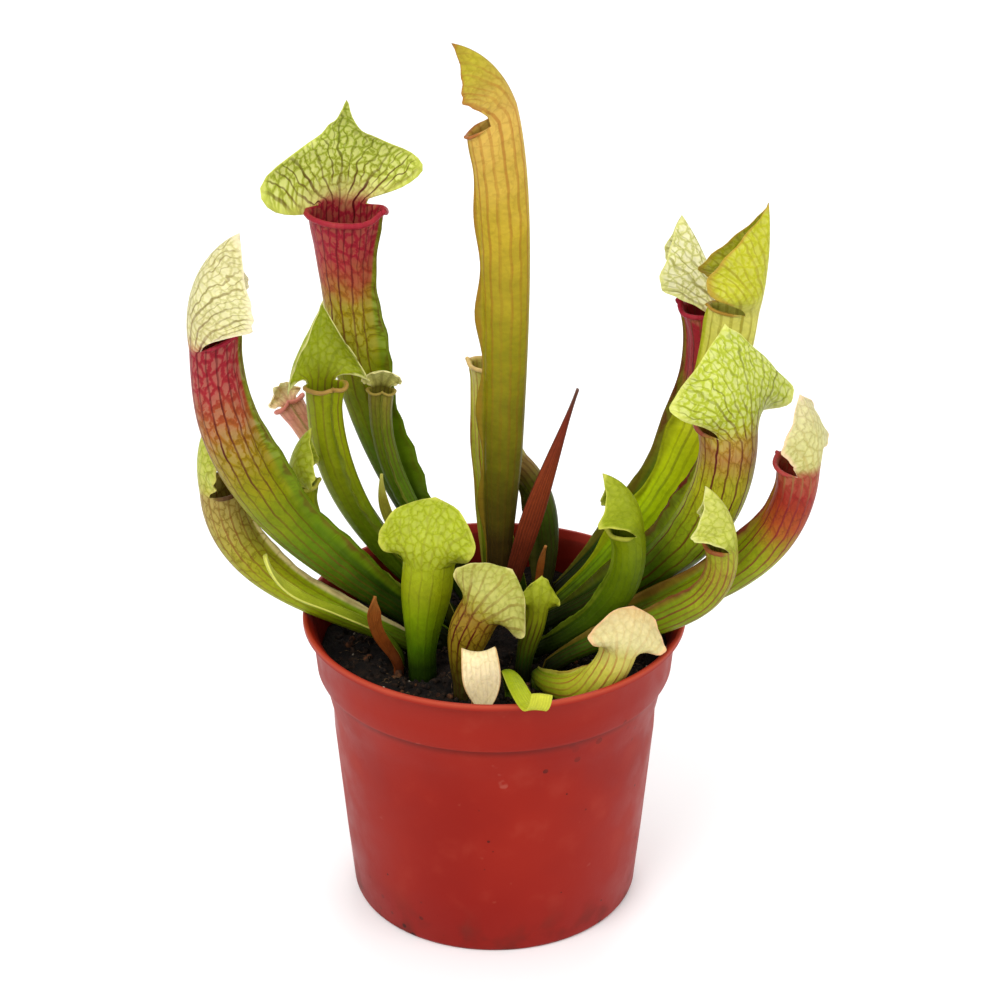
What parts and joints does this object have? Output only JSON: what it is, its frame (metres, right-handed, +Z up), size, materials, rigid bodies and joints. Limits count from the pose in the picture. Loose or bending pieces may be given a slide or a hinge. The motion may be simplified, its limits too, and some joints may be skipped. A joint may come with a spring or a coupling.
{
  "type": "potted pitcher plant",
  "caption": "Upright hooded trumpet leaves of a pitcher plant growing from dark peat in a round terracotta-red plastic nursery pot.",
  "frame": {"origin": "middle of the pot's flat underside", "axes": "+Z up, -Y towards the front of the plant, +X to its right"},
  "size_m": [0.1925, 0.1271, 0.2722],
  "materials": {
    "terracotta_plastic": "satin",
    "peat": "matte",
    "crown": "matte",
    "bronze_leaf": "satin",
    "crimson_leaf": "satin",
    "green_leaf": "satin",
    "cream_leaf": "satin",
    "lime_leaf": "satin",
    "olive_leaf": "satin",
    "maroon_leaf": "satin",
    "dead_leaf": "matte"
  },
  "bodies": {
    "root": {"pot": "terracotta_plastic", "soil": "peat", "rhizome": "crown", "pitcher_tall_bronze": "bronze_leaf", "pitcher_open_crimson": "crimson_leaf", "pitcher_back_green": "green_leaf", "pitcher_back_hidden": "cream_leaf", "pitcher_left_outer": "crimson_leaf", "pitcher_left_mid": "lime_leaf", "pitcher_pink_mouth": "cream_leaf", "pitcher_funnel": "olive_leaf", "pitcher_withered_lip": "olive_leaf", "pitcher_small_lime": "lime_leaf", "pitcher_front_lime": "lime_leaf", "pitcher_front_maroon": "maroon_leaf", "pitcher_front_green": "green_leaf", "pitcher_front_cream": "cream_leaf", "pitcher_right_lime": "green_leaf", "pitcher_right_crimson": "maroon_leaf", "pitcher_ivory_hood": "crimson_leaf", "pitcher_closed_young": "olive_leaf", "pitcher_right_outer": "olive_leaf", "pitcher_right_low": "olive_leaf", "leaf_bronze_spike": "maroon_leaf", "leaf_lime_ribbon": "lime_leaf", "leaf_withered_cream": "cream_leaf", "leaf_pale_narrow": "lime_leaf", "leaf_olive_bract": "olive_leaf", "leaf_dead_orange": "dead_leaf", "leaf_brown_stipule": "dead_leaf", "leaf_dark_shoot": "green_leaf", "leaf_lime_shoot": "lime_leaf"}
  },
  "joints": []
}
